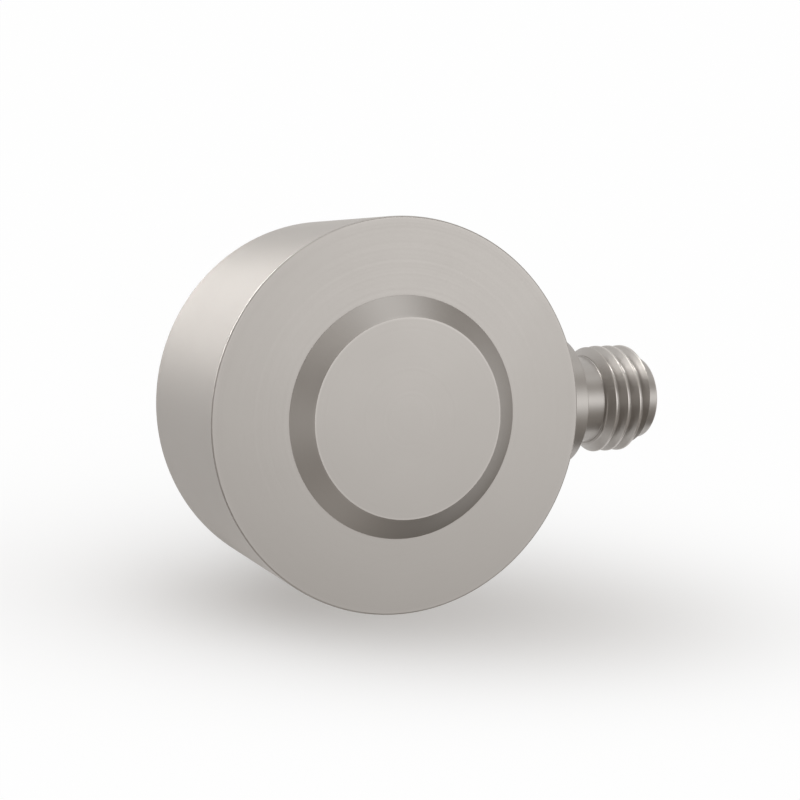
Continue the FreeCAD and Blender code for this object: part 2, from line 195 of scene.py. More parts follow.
# %% Graphs and finishes
class Graph:
    """A tree of nodes, with one method that adds any node."""

    def __init__(self, tree):
        self.tree = tree

    def add(self, kind, sockets=None, output=0, **settings):
        """Add a node of a kind, set it up, fill its sockets, and give back one of its outputs."""
        node = self.tree.nodes.new(kind)
        for setting, choice in settings.items():
            setattr(node, setting, choice)
        for socket, item in (sockets or {}).items():
            if isinstance(item, Signal):
                self.tree.links.new(item.socket, node.inputs[socket])
            else:
                node.inputs[socket].default_value = item
        return Signal(self.tree, node.outputs[output])

    def mix(self, factor, first, second):
        """A colour between two colours."""
        sockets = {"Factor": factor, 6: first, 7: second}
        return self.add("ShaderNodeMix", sockets, output=2, data_type="RGBA")


class Finish(Graph):
    """A material with a Principled shader."""

    def __init__(self, name, **constants):
        self.material = bpy.data.materials.new(name)
        self.material.use_nodes = True
        super().__init__(self.material.node_tree)
        self.shader = self.tree.nodes["Principled BSDF"]
        for socket, amount in constants.items():
            self.shader.inputs[socket.replace("_", " ")].default_value = amount

    def feed(self, socket, signal):
        """Link a signal to a socket of the shader."""
        self.tree.links.new(signal.socket, self.shader.inputs[socket])

    def position(self):
        """The place on the piece in millimetres, as a vector and as its three numbers."""
        metres = self.add("ShaderNodeTexCoord", output="Object")
        scaled = self.add("ShaderNodeVectorMath", {0: metres, "Scale": 1 / MM}, operation="SCALE")
        split = self.add("ShaderNodeSeparateXYZ", {0: scaled})
        parts = [Signal(self.tree, socket) for socket in split.socket.node.outputs]
        return scaled, *parts

    def noise(self, sockets, **settings):
        """A grey noise between nought and one."""
        return self.add("ShaderNodeTexNoise", sockets, output=0, **settings)

    def bump(self, height, depth):
        """Raise the surface by a height signal times a depth in millimetres."""
        self.feed("Normal", self.add("ShaderNodeBump", {"Height": height, "Distance": depth * MM}))


print("made the classes", Graph.__name__, "and", Finish.__name__)

# %% [markdown]
# The case is stainless steel, turned and then finished to a soft satin. Turning leaves rings around the
# lathe's axis, much finer than a hair, so the pattern is a noise that changes only with the distance
# from that axis and along it. A faint cloud of lighter and darker steel keeps it from looking like
# plastic, and the rims are a little brighter, because hands and tools polish an edge first.

# %% Satin turned steel
def warm_grey(level):
    """The colour of stainless steel at a level of lightness: a grey that leans a little to red."""
    return level, level * 0.95, level * 0.90, 1


def worn_and_highlighted_rims(across, along, rims):
    """One at each rim, a row of its radius, its place, and how far the wear and painted highlight reach
    across and along.
    """
    wear_and_highlight = 0
    for radius, place, reach_across, reach_along in rims:
        at_rim = across.near(radius, reach_across) * along.near(place, reach_along)
        wear_and_highlight = at_rim.math("MAXIMUM", at_rim, wear_and_highlight)
    return wear_and_highlight


def steel_finish(name, across_and_along, rough, light, rims=(), wear_and_highlight_lightness=1.15, feed=0.09, **constants):
    """Turned steel: rings about an axis, a fine grain, faint clouds, and lighter rims: wear, and a painted
    highlight where their lightness is high.
    """
    steel = Finish(name, Metallic=1.0, **constants)
    place, x, y, z = steel.position()
    across, along = across_and_along(x, y, z)
    marks = steel.noise({"W": (across + along) / feed, "Scale": 1.0, "Detail": 2.0}, noise_dimensions="1D")
    clouds = steel.noise({"Vector": place, "Scale": 0.35, "Detail": 3.0})
    grain = steel.noise({"Vector": place, "Scale": 30.0, "Detail": 2.0})
    speckle = clouds * 0.6 + marks * 0.4
    colour = steel.mix(speckle, warm_grey(light * 0.96), warm_grey(light * 1.04))
    rough = rough + (marks - 0.5) * 0.05 + (clouds - 0.5) * 0.06 + (grain - 0.5) * 0.05
    # Rims are mixed towards a lighter steel: a little of it is wear, and a high lightness is a painted
    # highlight.
    if rims:
        wear_and_highlight = worn_and_highlighted_rims(across, along, rims)
        colour = steel.mix(wear_and_highlight * 0.4, colour, warm_grey(light * wear_and_highlight_lightness))
        rough = rough - wear_and_highlight * 0.04
    steel.feed("Base Color", colour)
    steel.feed("Roughness", rough)
    steel.bump(marks + grain * 0.5, 0.00025)
    return steel.material


def about_load_axis(x, y, z):
    """The distance from the load axis and the height."""
    return (x * x + y * y) ** 0.5, z


CASE_WEAR = 0.14
BOSS_WEAR = 0.08

case_rims = [
    (case_radius, FRONT_FACE, CASE_WEAR, CASE_WEAR),
    (BOSS_TOP_RADIUS, boss_face, BOSS_WEAR, BOSS_WEAR),
    (case_radius, 0, CASE_WEAR, CASE_WEAR),
]
case_steel = steel_finish("satin_case_steel", about_load_axis, rough=0.36, light=0.44, rims=case_rims)
print("worn rims of the case:", len(case_rims))

# %% [markdown]
# The side wall isn't finished as finely as the front. Its tool marks run round it like the grooves of a
# record, and such marks smear a reflection across themselves, which is from the back of the sensor to
# the front. Grooves in the mesh would be far too many, so the shader's Anisotropic value does it. A
# quarter of a turn in Anisotropic Rotation points the smear along the axis.

# %% Turned steel of the side wall
wall_steel = steel_finish(
    "turned_wall_steel",
    about_load_axis,
    rough=0.40,
    # This steel is lighter than the front's, partly as painted sheen that stands in for the light the side
    # wall catches.
    light=0.52,
    Anisotropic=0.95,
    Anisotropic_Rotation=0.25,
)
print("made", wall_steel.name)

# %% [markdown]
# The connector is turned about its own axis with a finer feed, so its rings lie closer. The crests of
# its thread are polished by every plug that was screwed on, and they are painted far lighter than that
# wear alone would make them: a painted highlight. So one row of wear and painted highlight is narrow
# across and reaches along the whole thread.

# %% Turned steel of the connector
NOSE_WEAR = 0.10
CREST_WEAR_AND_HIGHLIGHT = 0.04
WEAR_AND_HIGHLIGHT_ALONG_THREAD = 20


def about_connector_axis(x, y, z):
    """The distance from the connector's axis and the place along it."""
    above = z - axis_height
    return (y * y + above * above) ** 0.5, x


thread_middle = (THREAD_START + THREAD_END) / 2
connector_rims = [
    (NOSE_RADIUS, nose_tip, NOSE_WEAR, NOSE_WEAR),
    (THREAD_RADIUS, thread_middle, CREST_WEAR_AND_HIGHLIGHT, WEAR_AND_HIGHLIGHT_ALONG_THREAD),
]
connector_steel = steel_finish(
    "turned_connector_steel",
    about_connector_axis,
    rough=0.34,
    light=0.45,
    rims=connector_rims,
    # A lightness this high is a painted highlight along the crests, and it lightens the nose's rim as
    # much.
    wear_and_highlight_lightness=1.8,
    feed=0.06,
)
print("middle of the thread mm", round(thread_middle, 2))

# %% [markdown]
# The back is ground, not turned: the wheel leaves fine scratches that all run one way. The same kind of
# noise is stretched along one direction, which the Mapping node does by scaling that direction down.

# %% Ground, lapped and welded steel
def ground_finish(name, rough, light, stretch, depth):
    """Steel with fine straight scratches along X, or an even lapped grain when nothing is stretched."""
    steel = Finish(name, Metallic=1.0)
    place, x, y, z = steel.position()
    along = steel.add("ShaderNodeMapping", {"Vector": place, "Scale": (1 / stretch, 1, 1)})
    scratches = steel.noise({"Vector": along, "Scale": 14.0, "Detail": 5.0, "Roughness": 0.6})
    clouds = steel.noise({"Vector": place, "Scale": 0.4, "Detail": 2.0})
    dark = (light * 0.88, light * 0.85, light * 0.82, 1)
    bright = (light * 1.08, light * 1.05, light * 1.02, 1)
    steel.feed("Base Color", steel.mix(scratches * 0.5 + clouds * 0.5, dark, bright))
    steel.feed("Roughness", rough + (scratches - 0.5) * 0.18)
    steel.bump(scratches, depth)
    return steel.material


def weld_finish(name):
    """Weld metal: a rough fine grain, with patches of faint straw tint from the heat."""
    steel = Finish(name, Metallic=1.0)
    place, x, y, z = steel.position()
    grain = steel.noise({"Vector": place, "Scale": 40.0, "Detail": 2.0})
    heat = steel.noise({"Vector": place, "Scale": 6.0, "Detail": 2.0})
    steel.feed("Base Color", steel.mix(heat, (0.40, 0.36, 0.30, 1), (0.54, 0.52, 0.49, 1)))
    steel.feed("Roughness", grain * 0.12 + 0.34)
    steel.bump(grain, 0.002)
    return steel.material


ground_steel = ground_finish("ground_base_steel", rough=0.34, light=0.52, stretch=14, depth=0.0006)
lapped_steel = ground_finish("lapped_hard_steel", rough=0.24, light=0.50, stretch=1, depth=0.0003)
ferrule_alloy = ground_finish("nickel_iron_alloy", rough=0.38, light=0.46, stretch=1, depth=0.0006)
weld_steel = weld_finish("weld_metal")
print("materials so far:", len(bpy.data.materials))

# %% [markdown]
# The rest is plastic, gold and glass. The white plastic is smooth from the tool, with the faintest
# cloud in it. Gold plate is thin, so it keeps the fine turning marks of the metal under it. The quartz
# is clear and lets light through, and the sealing glass is dark green, with tiny bubbles frozen in it.

# %% Plastic, gold and glass
def plastic_finish():
    """White fluoropolymer, turned, with the faintest cloud."""
    plastic = Finish("white_fluoropolymer", IOR=1.38, Specular_IOR_Level=0.4)
    place, x, y, z = plastic.position()
    across, along = about_connector_axis(x, y, z)
    marks = plastic.noise({"W": (across + along) / 0.05, "Scale": 1.0}, noise_dimensions="1D")
    clouds = plastic.noise({"Vector": place, "Scale": 1.5, "Detail": 2.0})
    plastic.feed("Base Color", plastic.mix(clouds, (0.80, 0.80, 0.78, 1), (0.86, 0.86, 0.845, 1)))
    plastic.feed("Roughness", 0.45 + (marks - 0.5) * 0.12)
    plastic.bump(marks, 0.001)
    return plastic.material


def gold_finish():
    """Gold plate over turned copper alloy."""
    gold = Finish("gold_plate", Metallic=1.0)
    place, x, y, z = gold.position()
    across, along = about_connector_axis(x, y, z)
    marks = gold.noise({"W": (across + along) / 0.03, "Scale": 1.0}, noise_dimensions="1D")
    clouds = gold.noise({"Vector": place, "Scale": 3.0, "Detail": 2.0})
    gold.feed("Base Color", gold.mix(clouds, (0.80, 0.56, 0.22, 1), (0.90, 0.67, 0.30, 1)))
    gold.feed("Roughness", 0.24 + marks * 0.10)
    gold.bump(marks, 0.0004)
    return gold.material


def glass_finish(name, light, dark, transmission, rough, bubbles):
    """Clear quartz or fused sealing glass."""
    glass = Finish(name, IOR=1.54, Transmission_Weight=transmission)
    place, x, y, z = glass.position()
    seeds = glass.noise({"Vector": place, "Scale": bubbles, "Detail": 3.0})
    glass.feed("Base Color", glass.mix(seeds, light, dark))
    glass.feed("Roughness", rough + seeds * 0.06)
    glass.bump(seeds, 0.0005)
    return glass.material


white_plastic = plastic_finish()
gold_plate = gold_finish()
quartz = glass_finish(
    "clear_quartz",
    light=(0.96, 0.98, 1.0, 1),
    dark=(0.92, 0.95, 0.97, 1),
    transmission=0.9,
    rough=0.03,
    bubbles=4.0,
)
sealing_glass = glass_finish(
    "sealing_glass",
    light=(0.03, 0.09, 0.07, 1),
    dark=(0.06, 0.16, 0.13, 1),
    transmission=0.3,
    rough=0.10,
    bubbles=25.0,
)
print("finishes made:", len(bpy.data.materials))

# %% [markdown]
# Everything round on this sensor comes off a lathe, so it is modelled as a lathe hand thinks: a
# radius and a place at each step. A circle is added, and each next ring is extruded from the last one,
# moved along the axis and scaled to its new radius. Spinning a drawn profile would do the same, but this
# way the number of rings at a corner, and so its roundness, is plain to see.
#
# A smooth-shaded round corner bends the light on the flat faces beside it, too, unless each of them has
# one more ring close by that holds it flat. So a rounded corner comes with such a ring on both sides.

# %% Rounded corners of a profile
def corner(before, at, after, radius, steps, hold):
    """The points of a rounded corner between two straight runs, with a holding point on each side."""
    here = Vector(at)
    into = (Vector(before) - here).normalized()
    out = (Vector(after) - here).normalized()
    half = into.angle(out) / 2
    reach = radius / math.tan(half)
    centre = here + (into + out).normalized() * (radius / math.sin(half))
    first = here + into * reach - centre
    last = here + out * reach - centre
    turn = first.angle(last)
    points = []
    for step in range(steps + 1):
        part = step / steps
        first_share = math.sin((1 - part) * turn) / math.sin(turn)
        last_share = math.sin(part * turn) / math.sin(turn)
        points.append(tuple(centre + first * first_share + last * last_share))
    if hold:
        points.insert(0, tuple(here + into * (reach + hold)))
        points.append(tuple(here + out * (reach + hold)))
    return points


def rounded_profile(points, rounds, steps=5, hold=0.01):
    """A profile of (radius, place) points, where a table says which corners are rounded and how much."""
    rings = []
    for number, point in enumerate(points):
        if number in rounds:
            before = points[number - 1]
            after = points[(number + 1) % len(points)]
            rings += corner(before, point, after, rounds[number], steps, hold)
        else:
            rings.append(point)
    return rings


print("points of one rounded corner:", len(corner((0, 0), (1, 0), (1, 1), 0.1, steps=5, hold=0.01)))

# %% [markdown]
# A point on the axis itself would be a ring of no size, and nothing can scale that up again. So the
# smallest ring is far thinner than anything that shows, and the cleaning afterwards merges it into one
# point. Most pieces get 192 steps round the axis, fine enough to look round from this near.

# %% The lathe
SMALLEST_RADIUS = 1e-5
MERGE_WITHIN = 0.0005


def worked_on(piece):
    """Select one piece alone and make it the active one."""
    bpy.ops.object.select_all(action="DESELECT")
    bpy.context.view_layer.objects.active = piece
    piece.select_set(True)
    return piece


def cleaned(piece):
    """Merge doubled points and turn all faces outwards."""
    worked_on(piece)
    bpy.ops.object.mode_set(mode="EDIT")
    bpy.ops.mesh.select_all(action="SELECT")
    bpy.ops.mesh.remove_doubles(threshold=MERGE_WITHIN * MM)
    bpy.ops.mesh.normals_make_consistent(inside=False)
    bpy.ops.object.mode_set(mode="OBJECT")
    return piece


def lathe(name, rings, steps=192, closed=False):
    """Turn a profile of (radius, place) rings in millimetres about the Z axis."""
    radius, place = rings[0]
    radius = max(radius, SMALLEST_RADIUS)
    bpy.ops.mesh.primitive_circle_add(vertices=steps, radius=radius * MM, location=(0, 0, place * MM))
    piece = bpy.context.object
    piece.name = name
    bpy.ops.object.transform_apply(location=True)
    bpy.ops.object.mode_set(mode="EDIT")
    bpy.ops.mesh.select_mode(type="EDGE")
    bpy.ops.mesh.select_all(action="SELECT")
    for next_radius, next_place in rings[1:] + (rings[:1] if closed else []):
        next_radius = max(next_radius, SMALLEST_RADIUS)
        step = (0, 0, (next_place - place) * MM)
        bpy.ops.mesh.extrude_edges_move(TRANSFORM_OT_translate={"value": step})
        grow = next_radius / radius
        bpy.ops.transform.resize(value=(grow, grow, 1), center_override=(0, 0, next_place * MM))
        radius, place = next_radius, next_place
    bpy.ops.object.mode_set(mode="OBJECT")
    return cleaned(piece)


print("points are merged within mm", MERGE_WITHIN)

# %% [markdown]
# A piece's own origin stays at the origin of the frame and its place is kept in its mesh, so that any
# viewer puts it right without knowing an offset. The connector's pieces are turned on the Z axis like
# all others and are laid over once they are done. Shading is smooth, but stays crisp at sharp edges.

# %% Laying over and finishing a piece
def laid_along_x(piece):
    """Turn a piece that was made on the Z axis onto the connector's axis, with its place in its mesh."""
    worked_on(piece)
    piece.rotation_euler = (0, math.pi / 2, 0)
    piece.location = (0, 0, axis_height * MM)
    bpy.ops.object.transform_apply(location=True, rotation=True)
    return piece


def finished(piece, material, replaces=None, sharp=30):
    """Shade a piece, give it its material, and fix it to the sensor."""
    worked_on(piece)
    bpy.ops.object.shade_smooth_by_angle(angle=math.radians(sharp))
    piece.data.materials.clear()
    piece.data.materials.append(material)
    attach(piece, "root")
    if replaces:
        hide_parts(replaces)
    print(piece.name, "faces:", len(piece.data.polygons))


# %% [markdown]
# The case is one cup turned from bar. The machined solid has the same outline with plain chamfers. Here
# each rim gets a true small round, because a round edge is what catches a thin line of light in a
# close-up. The front wall is thin in a ring around the boss, which nobody sees, but the piece keeps it so
# that a cut through the model still tells the truth.

# %% Case
CAVITY_RADIUS = 5.2
SEAT_RADIUS = 5.8
BASE_FLANGE = 1.2
LAND_RADIUS = 3.8
LAND_FACE = 5.65
DIAPHRAGM_FACE = 6.40
BOSS_FOOT_RADIUS = 3.97
SEAM_BEVEL = 0.08

case_points = [
    (0, LAND_FACE),
    (LAND_RADIUS, LAND_FACE),
    (LAND_RADIUS, DIAPHRAGM_FACE),
    (CAVITY_RADIUS, DIAPHRAGM_FACE),
    (CAVITY_RADIUS, BASE_FLANGE),
    (SEAT_RADIUS, BASE_FLANGE),
    (SEAT_RADIUS, SEAM_BEVEL),
    (SEAT_RADIUS + SEAM_BEVEL, 0),
    (case_radius, 0),
    (case_radius, FRONT_FACE),
    (BOSS_FOOT_RADIUS, FRONT_FACE),
    (BOSS_TOP_RADIUS, boss_face),
    (0, boss_face),
]
case_rounds = {2: 0.15, 3: 0.15, 8: 0.08, 9: 0.05, 10: 0.03, 11: 0.025}
case_rings = rounded_profile(case_points, case_rounds)
case = lathe("turned_case", case_rings, steps=256)
print("rings of the case:", len(case_rings))

# %% [markdown]
# The connector's collar sits in a flat seat cut into the round side wall, and its spigot goes through a
# hole. Both are cut with a Boolean modifier, the way a milling cutter would do it: a plain cylinder is put
# where the cutter goes and is taken away from the case.

# %% Connector seat in the side wall
COLLAR_SEAT = 5.998
SPIGOT_RADIUS = 1.605
SPIGOT_HOLE_START = 4.4
SEAT_GAP = 0.02
SEAT_OVERRUN = 2
HOLE_OVERRUN = 1


def cut_away(piece, cutter):
    """Take one piece away from another with an applied Boolean modifier, and delete the cutter."""
    worked_on(piece)
    cut = piece.modifiers.new("cut", "BOOLEAN")
    cut.object = cutter
    cut.operation = "DIFFERENCE"
    cut.solver = "EXACT"
    bpy.ops.object.modifier_apply(modifier="cut")
    bpy.data.objects.remove(cutter)


def milling_cutter(radius, start, end):
    """A round cutter along the connector's axis between two places in millimetres."""
    bpy.ops.mesh.primitive_cylinder_add(
        vertices=128,
        radius=radius * MM,
        depth=(end - start) * MM,
        location=((start + end) / 2 * MM, 0, axis_height * MM),
        rotation=(0, math.pi / 2, 0),
    )
    return bpy.context.object


cut_away(case, milling_cutter(collar_radius + SEAT_GAP, COLLAR_SEAT, COLLAR_SEAT + SEAT_OVERRUN))
cut_away(case, milling_cutter(SPIGOT_RADIUS + SEAT_GAP, SPIGOT_HOLE_START, COLLAR_SEAT + HOLE_OVERRUN))
finished(case, case_steel, "housing")

# %% [markdown]
# The case is one piece with two finishes, so it has two material slots. The faces of the side wall are
# picked out by how far out they lie and by which way they look, and they get the second one.

# %% Second finish on the side wall
WALL_SKIN = 0.02
NEARLY_LEVEL = 0.1

case.data.materials.append(wall_steel)
for face in case.data.polygons:
    outermost = face.center.xy.length > (case_radius - WALL_SKIN) * MM
    if outermost and abs(face.normal.z) < NEARLY_LEVEL:
        face.material_index = 1
print("faces of the side wall:", sum(face.material_index for face in case.data.polygons))

# %% [markdown]
# The base plate closes the cup from behind. It is the face that the sensor stands on, so it is ground
# flat: its finish has fine straight scratches in one direction instead of rings.

# %% Base plate
PLATE_CLEARANCE = 0.02
BASE_TOP = 2.2

plate_radius = SEAT_RADIUS - PLATE_CLEARANCE
plate_points = [
    (0, 0),
    (plate_radius - SEAM_BEVEL, 0),
    (plate_radius, SEAM_BEVEL),
    (plate_radius, BASE_FLANGE),
    (LAND_RADIUS, BASE_FLANGE),
    (LAND_RADIUS, BASE_TOP),
    (0, BASE_TOP),
]
base_plate = lathe("ground_base_plate", plate_points)
finished(base_plate, ground_steel, "base_plate")

# %% [markdown]
# A laser runs round the joint between the plate and the case and seals the sensor for life. Each pulse
# leaves one small scale of metal that overlaps the last. So one scale is modelled, from a ring that
# swells quickly and then sinks, with its middle pushed forward as a fish's scale is. An Array modifier
# lays a straight row of them, a Curve modifier bends that row round the seam, and Bridge Edge Loops
# closes the gap between the last scale and the first.

# %% A row of weld scales
SCALE_SWELLING = ((0.0, 0.80), (0.12, 1.0), (0.5, 0.96), (0.8, 0.86), (1.0, 0.80))
SCALE_POINT = 0.35
BEAD_SIDES = 12


def weld_scale(name, pulse, half_width, half_height):
    """One scale of weld metal along X, open at both ends, sizes in millimetres."""
    bpy.ops.mesh.primitive_circle_add(vertices=BEAD_SIDES, radius=1, rotation=(0, math.pi / 2, 0))
    scale = bpy.context.object
    scale.name = name
    scale.scale = (half_height * MM, half_width * MM, 1)
    bpy.ops.object.transform_apply(rotation=True, scale=True)
    bpy.ops.object.mode_set(mode="EDIT")
    bpy.ops.mesh.select_mode(type="EDGE")
    bpy.ops.mesh.select_all(action="SELECT")
    place, size = 0, 1
    for next_place, next_size in SCALE_SWELLING:
        if next_place:
            step = ((next_place - place) * pulse * MM, 0, 0)
            bpy.ops.mesh.extrude_edges_move(TRANSFORM_OT_translate={"value": step})
        grow = next_size / size
        bpy.ops.transform.resize(value=(1, grow, grow), center_override=(0, 0, 0))
        place, size = next_place, next_size
    bpy.ops.object.mode_set(mode="OBJECT")
    for vertex in scale.data.vertices:
        aside = vertex.co.y / (half_width * MM)
        vertex.co.x += (1 - aside * aside) * SCALE_POINT * pulse * MM
    return scale


def weld_bead(name, seam, length, pulse, half_width, half_height):
    """Lay weld scales in a closed row along a seam curve of a length, sizes in millimetres."""
    count = round(length / pulse)
    pulse = length / count
    bead = weld_scale(name, pulse, half_width, half_height)
    row = bead.modifiers.new("row", "ARRAY")
    row.count = count
    row.use_relative_offset = False
    row.use_constant_offset = True
    row.constant_offset_displace = (pulse * MM, 0, 0)
    row.use_merge_vertices = True
    row.merge_threshold = MERGE_WITHIN * MM
    bpy.ops.object.modifier_apply(modifier="row")
    bend = bead.modifiers.new("bend", "CURVE")
    bend.object = seam
    bpy.ops.object.modifier_apply(modifier="bend")
    bpy.data.objects.remove(seam)
    cleaned(bead)
    bpy.ops.object.mode_set(mode="EDIT")
    bpy.ops.mesh.select_all(action="DESELECT")
    bpy.ops.mesh.select_non_manifold()
    bpy.ops.mesh.bridge_edge_loops(use_merge=True, merge_factor=0.5)
    bpy.ops.object.mode_set(mode="OBJECT")
    print(name, "scales:", count)
    return bead


# %% [markdown]
# The seam at the back is a plain circle over the groove between the plate and the case. The bead stays
# a hair inside the back face, so that the sensor doesn't rock on it.

# %% Weld bead at the back
SEAM_RADIUS = 5.79
SEAM_HEIGHT = 0.058

bpy.ops.mesh.primitive_circle_add(vertices=360, radius=SEAM_RADIUS * MM, location=(0, 0, SEAM_HEIGHT * MM))
back_seam = bpy.context.object
bpy.ops.object.transform_apply(location=True)
bpy.ops.object.convert(target="CURVE")
back_bead = weld_bead(
    "back_weld_bead",
    back_seam,
    length=2 * math.pi * SEAM_RADIUS,
    pulse=0.12,
    half_width=0.085,
    half_height=0.045,
)
finished(back_bead, weld_steel, sharp=60)

# %% [markdown]
# The connector shell is one turned piece: a spigot with the glass seal inside, a collar, a neck that
# flows into the collar with a wide hollow, the threaded barrel and a plain nose. The lathe makes all of
# it but the thread, as one open band that runs from the end of the thread over the nose, through the bore
# and back to the neck. Just before the thread is a narrow relief, where the threading tool ran out.
# Its places are distances before the thread.

# %% Connector shell without its thread
BORE_RADIUS = 1.10
MOUTH_CHAMFER = 0.1
WEB_FACE = 7.30
WEB_BORE = 0.65
FERRULE_SEAT = 1.205
COLLAR_END = 7.26
NECK_RADIUS = 1.575
NECK_ROOT = 0.4
RELIEF_DEPTH = 0.02
RELIEF_START = 0.05
RELIEF_FLOOR_START = 0.035
RELIEF_FLOOR_END = 0.02
STEP_UP = 0.005

shell_points = [
    (NOSE_RADIUS, THREAD_END),
    (NOSE_RADIUS, nose_tip),
    (BORE_RADIUS + MOUTH_CHAMFER, nose_tip),
    (BORE_RADIUS, nose_tip - MOUTH_CHAMFER),
    (BORE_RADIUS, WEB_FACE),
    (WEB_BORE, WEB_FACE),
    (WEB_BORE, ferrule_end),
    (FERRULE_SEAT, ferrule_end),
    (FERRULE_SEAT, ferrule_start),
    (SPIGOT_RADIUS, ferrule_start),
    (SPIGOT_RADIUS, COLLAR_SEAT),
    (collar_radius, COLLAR_SEAT),
    (collar_radius, COLLAR_END),
]
neck_points = [
    (NECK_RADIUS, COLLAR_END),
    (NECK_RADIUS, THREAD_START - RELIEF_START),
    (NECK_RADIUS - RELIEF_DEPTH, THREAD_START - RELIEF_FLOOR_START),
    (NECK_RADIUS - RELIEF_DEPTH, THREAD_START - RELIEF_FLOOR_END),
    (NECK_RADIUS + STEP_UP, THREAD_START),
]
# The last corner is worked out towards the first point, so the collar's front rim isn't rounded: it
# stands 0.016 mm proud of the face inside it.
shell_rounds = {1: 0.05, 2: 0.015, 3: 0.015, 12: 0.05}
shell_rings = rounded_profile(shell_points, shell_rounds)
shell_rings += corner(shell_points[-1], neck_points[0], neck_points[1], NECK_ROOT, steps=10, hold=0.02)
shell_rings += neck_points[1:]
shell = lathe("connector_shell_turned", shell_rings)
print("rings of the shell:", len(shell_rings))

# %% [markdown]
# The thread is a true right-hand screw thread, one groove that climbs half a millimetre a turn. Its
# profile is drawn once, from the bottom of one groove over the crest to the bottom of the next: a narrow
# flat crest, flanks at sixty degrees to each other and a round root.

# %% Profile of the thread
THREAD_ROOT = 1.6433
PITCH = 0.5
GROOVE_FLOOR = PITCH * 7 / 16 - (THREAD_RADIUS - THREAD_ROOT) / math.sqrt(3)
ROOT_ROUND = 0.07
CREST_ROUND = 0.018

crest = PITCH / 16
half = PITCH / 2
tooth_points = [
    (THREAD_ROOT, -half),
    (THREAD_ROOT, -half + GROOVE_FLOOR),
    (THREAD_RADIUS, -crest),
    (THREAD_RADIUS, crest),
    (THREAD_ROOT, half - GROOVE_FLOOR),
    (THREAD_ROOT, half),
]
tooth = [tooth_points[0]]
for number, round_size in ((1, ROOT_ROUND), (2, CREST_ROUND), (3, CREST_ROUND), (4, ROOT_ROUND)):
    before, at, after = tooth_points[number - 1:number + 2]
    tooth += corner(before, at, after, round_size, steps=4, hold=0)
tooth.append(tooth_points[5])
print("points of the thread's profile:", len(tooth))

# %% [markdown]
# A plane merged into its middle leaves the single point that the profile starts from, and each next
# point is extruded from the last one. The Screw modifier then winds the profile up the axis, and each
# turn starts where the last one ended.

# %% Thread
FIRST_GROOVE = 7.71
TURNS = 5
STEPS_PER_TURN = 96

bpy.ops.mesh.primitive_plane_add(size=MM)
thread = bpy.context.object
thread.name = "thread"
bpy.ops.object.mode_set(mode="EDIT")
bpy.ops.mesh.select_mode(type="VERT")
bpy.ops.mesh.select_all(action="SELECT")
bpy.ops.mesh.merge(type="CENTER")
radius, place = tooth[0]
bpy.ops.transform.translate(value=(radius * MM, 0, (FIRST_GROOVE + half + place) * MM))
for next_radius, next_place in tooth[1:]:
    step = ((next_radius - radius) * MM, 0, (next_place - place) * MM)
    bpy.ops.mesh.extrude_vertices_move(TRANSFORM_OT_translate={"value": step})
    radius, place = next_radius, next_place
bpy.ops.object.mode_set(mode="OBJECT")

wind = thread.modifiers.new("wind", "SCREW")
wind.angle = 2 * math.pi
wind.screw_offset = PITCH * MM
wind.iterations = TURNS
wind.steps = STEPS_PER_TURN
wind.render_steps = STEPS_PER_TURN
wind.use_merge_vertices = True
wind.merge_threshold = MERGE_WITHIN * MM
bpy.ops.object.modifier_apply(modifier="wind")
cleaned(thread)
print("thread before trimming, faces:", len(thread.data.polygons))

# %% [markdown]
# Both ends of the wound thread are cut off square with Bisect, as a parting tool leaves them. The two
# pieces are then joined, and Bridge Edge Loops closes the flat ring between each cut end and the plain
# cylinder beside it.

# %% Thread ends
CUT_TOLERANCE = 0.0001
SAME_PLACE = 0.002


def trimmed(piece, place, above):
    """Cut a piece square to the Z axis, and drop what is above or below the cut."""
    worked_on(piece)
    bpy.ops.object.mode_set(mode="EDIT")
    bpy.ops.mesh.select_all(action="SELECT")
    bpy.ops.mesh.bisect(
        plane_co=(0, 0, place * MM),
        plane_no=(0, 0, 1),
        clear_outer=above,
        clear_inner=not above,
        threshold=CUT_TOLERANCE * MM,
    )
    bpy.ops.object.mode_set(mode="OBJECT")


def bridged_at(piece, place):
    """Join the two open edge loops that lie at one place along the Z axis."""
    worked_on(piece)
    bpy.ops.object.mode_set(mode="EDIT")
    bpy.ops.mesh.select_mode(type="EDGE")
    bpy.ops.mesh.select_all(action="DESELECT")
    bpy.ops.mesh.select_non_manifold()
    bpy.ops.object.mode_set(mode="OBJECT")
    mesh = piece.data
    for edge in mesh.edges:
        ends = [mesh.vertices[number].co.z for number in edge.vertices]
        edge.select = edge.select and all(abs(end - place * MM) < SAME_PLACE * MM for end in ends)
    chosen = {number for edge in mesh.edges if edge.select for number in edge.vertices}
    for vertex in mesh.vertices:
        vertex.select = vertex.index in chosen
    bpy.ops.object.mode_set(mode="EDIT")
    bpy.ops.mesh.bridge_edge_loops()
    bpy.ops.object.mode_set(mode="OBJECT")


trimmed(thread, THREAD_START, above=False)
trimmed(thread, THREAD_END, above=True)
worked_on(shell)
thread.select_set(True)
bpy.ops.object.join()
bridged_at(shell, THREAD_START)
bridged_at(shell, THREAD_END)
cleaned(shell)
print("shell with its thread, faces:", len(shell.data.polygons))

# %% [markdown]
# On the neck's side the thread would begin with a sharp step. A turner breaks it with a cone at sixty
# degrees to the axis, so that no thin edge is left to burr. The cutter is a ring with a three-cornered
# section, made on the same lathe and taken away from the shell.

# %% Lead-in cone of the thread
CONE_RISE = 0.015
CONE_LEAD = 0.01
CONE_REACH = 0.6

